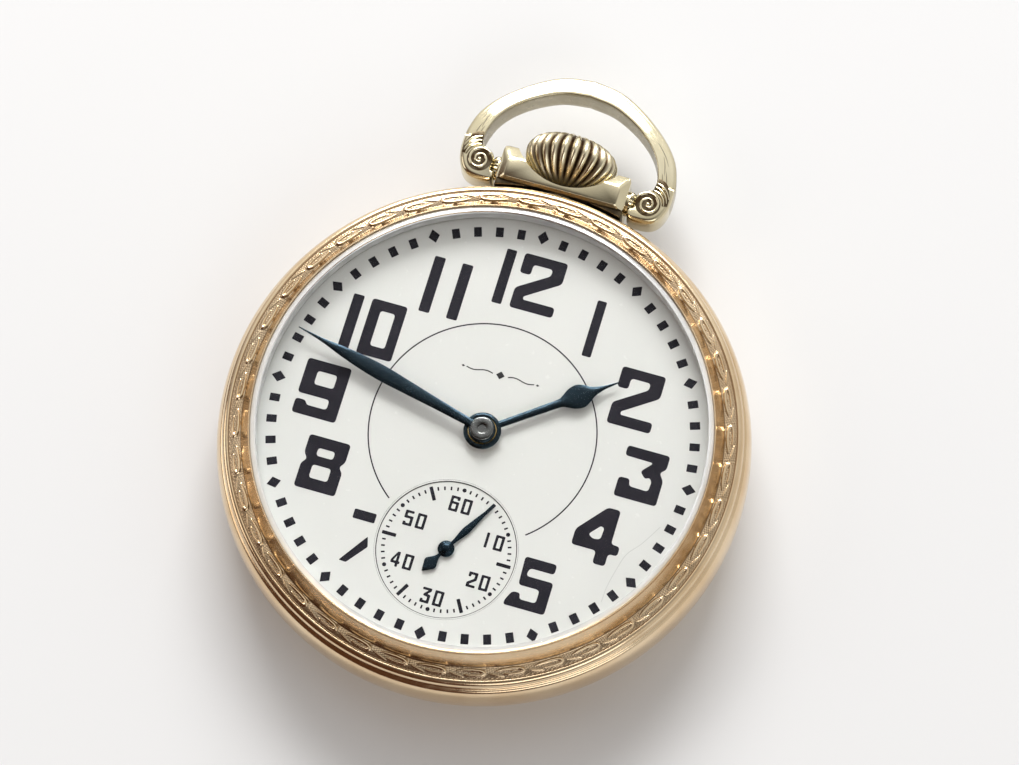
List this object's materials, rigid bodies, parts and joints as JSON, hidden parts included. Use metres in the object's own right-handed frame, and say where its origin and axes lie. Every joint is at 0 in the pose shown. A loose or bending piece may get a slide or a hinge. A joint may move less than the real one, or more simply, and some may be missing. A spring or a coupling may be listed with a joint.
{
  "type": "pocket watch",
  "caption": "Round open-face pocket watch with a chased bezel, ribbed winding crown, swivel bow, sunk seconds dial and a complete hand-wound lever movement.",
  "frame": {"origin": "centre of the flat rest on the back cover", "axes": "+Z out of the dial, +Y towards twelve o'clock, the crown and the bow, +X towards three o'clock"},
  "size_m": [0.051, 0.0634, 0.013],
  "materials": {
    "case_gold": "polished rose gold shell with a chased border",
    "pale_gold": "polished pale gold with worn edges",
    "crystal_glass": "clear polished glass",
    "dial_enamel": "white enamel with fired black numerals",
    "blued_steel": "heat blued and polished",
    "steel": "polished steel",
    "nickel_plate": "striped nickel finish",
    "gilt_brass": "gilded brass",
    "ruby": "polished synthetic ruby",
    "spring_steel": "tempered spring steel"
  },
  "bodies": {
    "case": {"case_center": "case_gold", "pendant": "pale_gold", "pendant_sleeve": "steel", "bow_screws": "pale_gold", "case_screws": "blued_steel", "main_plate": "nickel_plate", "barrel_bridge": "nickel_plate", "train_bridge": "nickel_plate", "balance_cock": "nickel_plate", "pallet_bridge": "nickel_plate", "plate_screws": "blued_steel", "pallet_screw": "blued_steel", "crown_wheel_stud": "steel", "click_spring": "spring_steel", "jewel_settings": "gilt_brass", "train_jewels": "ruby", "dial": "dial_enamel", "hairspring": "blued_steel", "hairspring_stud": "steel"},
    "bezel": {"bezel": "case_gold", "crystal": "crystal_glass"},
    "back": {"case_back": "case_gold"},
    "bow": {"bow": "pale_gold"},
    "winding": {"winding_arbor": "steel", "winding_pinion": "steel", "clutch_wheel": "steel"},
    "crown": {"crown": "pale_gold", "crown_core": "gilt_brass", "winding_stem": "steel"},
    "crown_wheel": {"crown_wheel": "steel"},
    "ratchet": {"ratchet_wheel": "steel", "barrel_arbor": "steel"},
    "click": {"click": "steel"},
    "barrel": {"barrel": "gilt_brass", "barrel_cover": "gilt_brass", "mainspring": "spring_steel"},
    "centre": {"centre_wheel": "gilt_brass", "centre_arbor": "steel"},
    "third": {"third_wheel": "gilt_brass", "third_pinion": "steel"},
    "fourth": {"fourth_wheel": "gilt_brass", "fourth_pinion": "steel", "seconds_hand": "blued_steel"},
    "escape": {"escape_wheel": "steel", "escape_pinion": "steel"},
    "lever": {"pallet_fork": "steel", "pallet_stones": "ruby"},
    "balance": {"balance_wheel": "gilt_brass", "balance_staff": "steel", "balance_screws": "gilt_brass", "roller": "steel", "roller_jewel": "ruby"},
    "regulator": {"regulator": "steel"},
    "cannon": {"cannon_pinion": "steel", "minute_hand": "blued_steel"},
    "minute_work": {"minute_wheel": "gilt_brass"},
    "hour_work": {"hour_wheel": "gilt_brass", "hour_hand": "blued_steel"},
    "setting": {"setting_wheel": "steel"},
    "yoke": {"yoke_wheel": "steel"}
  },
  "joints": [
    {"name": "bow_swing", "type": "hinge", "parent": "case", "child": "bow", "pos_m": [0, 0.02695, 0.006], "axis": [1, 0, 0], "range_deg": [-90, 90]},
    {"name": "bezel_lift", "type": "slide", "parent": "case", "child": "bezel", "axis": [0, 0, 1], "range_m": [0, 0.014]},
    {"name": "back_lift", "type": "slide", "parent": "case", "child": "back", "axis": [0, 0, -1], "range_m": [0, 0.016]},
    {"name": "winding_turn", "type": "hinge", "parent": "case", "child": "winding", "pos_m": [0, 0.018, 0.006], "axis": [0, 1, 0], "continuous": true},
    {"name": "crown_pull", "type": "slide", "parent": "winding", "child": "crown", "axis": [0, 1, 0], "range_m": [0, 0.001]},
    {"name": "crown_wheel_turn", "type": "hinge", "parent": "case", "child": "crown_wheel", "pos_m": [0, 0.0127, 0.0037], "axis": [0, 0, 1], "continuous": true},
    {"name": "ratchet_turn", "type": "hinge", "parent": "case", "child": "ratchet", "pos_m": [-0.0082, 0.00656, 0.0037], "axis": [0, 0, 1], "continuous": true},
    {"name": "click_lift", "type": "hinge", "parent": "case", "child": "click", "pos_m": [-0.0147, 0.01075, 0.0037], "axis": [0, 0, 1], "range_deg": [-12, 0]},
    {"name": "seconds_turn", "type": "hinge", "parent": "case", "child": "fourth", "pos_m": [0, -0.01185, 0.005], "axis": [0, 0, 1], "continuous": true},
    {"name": "third_turn", "type": "hinge", "parent": "case", "child": "third", "pos_m": [0.00412, -0.00644, 0.005], "axis": [0, 0, 1], "continuous": true},
    {"name": "centre_turn", "type": "hinge", "parent": "case", "child": "centre", "pos_m": [0, 0, 0.005], "axis": [0, 0, 1], "continuous": true},
    {"name": "barrel_turn", "type": "hinge", "parent": "case", "child": "barrel", "pos_m": [-0.0082, 0.00656, 0.005], "axis": [0, 0, 1], "continuous": true},
    {"name": "escape_turn", "type": "hinge", "parent": "case", "child": "escape", "pos_m": [-0.00466, -0.01516, 0.005], "axis": [0, 0, 1], "continuous": true},
    {"name": "lever_rock", "type": "hinge", "parent": "case", "child": "lever", "pos_m": [-0.00689, -0.01165, 0.005], "axis": [0, 0, 1], "range_deg": [-4, 4]},
    {"name": "balance_swing", "type": "hinge", "parent": "case", "child": "balance", "pos_m": [-0.0096, -0.0074, 0.005], "axis": [0, 0, 1], "range_deg": [-130, 130]},
    {"name": "regulator_turn", "type": "hinge", "parent": "case", "child": "regulator", "pos_m": [-0.0096, -0.0074, 0.0013], "axis": [0, 0, 1], "range_deg": [-20, 20]},
    {"name": "hand_setting", "type": "hinge", "parent": "case", "child": "cannon", "pos_m": [0, 0, 0.008], "axis": [0, 0, 1], "continuous": true},
    {"name": "minute_work_turn", "type": "hinge", "parent": "case", "child": "minute_work", "pos_m": [0, 0.00384, 0.008], "axis": [0, 0, 1], "continuous": true},
    {"name": "hour_turn", "type": "hinge", "parent": "case", "child": "hour_work", "pos_m": [0, 0, 0.009], "axis": [0, 0, 1], "continuous": true},
    {"name": "setting_turn", "type": "hinge", "parent": "case", "child": "setting", "pos_m": [0, 0.00864, 0.008], "axis": [0, 0, 1], "continuous": true},
    {"name": "yoke_turn", "type": "hinge", "parent": "case", "child": "yoke", "pos_m": [0, 0.01248, 0.008], "axis": [0, 0, 1], "continuous": true}
  ],
  "couplings": [
    {"joint": "crown_wheel_turn", "follows": "winding_turn", "ratio": 0.44444},
    {"joint": "ratchet_turn", "follows": "winding_turn", "ratio": -0.38095},
    {"joint": "third_turn", "follows": "seconds_turn", "ratio": -0.13333},
    {"joint": "centre_turn", "follows": "seconds_turn", "ratio": 0.016667},
    {"joint": "barrel_turn", "follows": "seconds_turn", "ratio": -0.0027778},
    {"joint": "escape_turn", "follows": "seconds_turn", "ratio": -10},
    {"joint": "minute_work_turn", "follows": "hand_setting", "ratio": -0.33333},
    {"joint": "hour_turn", "follows": "hand_setting", "ratio": 0.083333},
    {"joint": "setting_turn", "follows": "hand_setting", "ratio": 0.5},
    {"joint": "yoke_turn", "follows": "hand_setting", "ratio": -0.5}
  ]
}
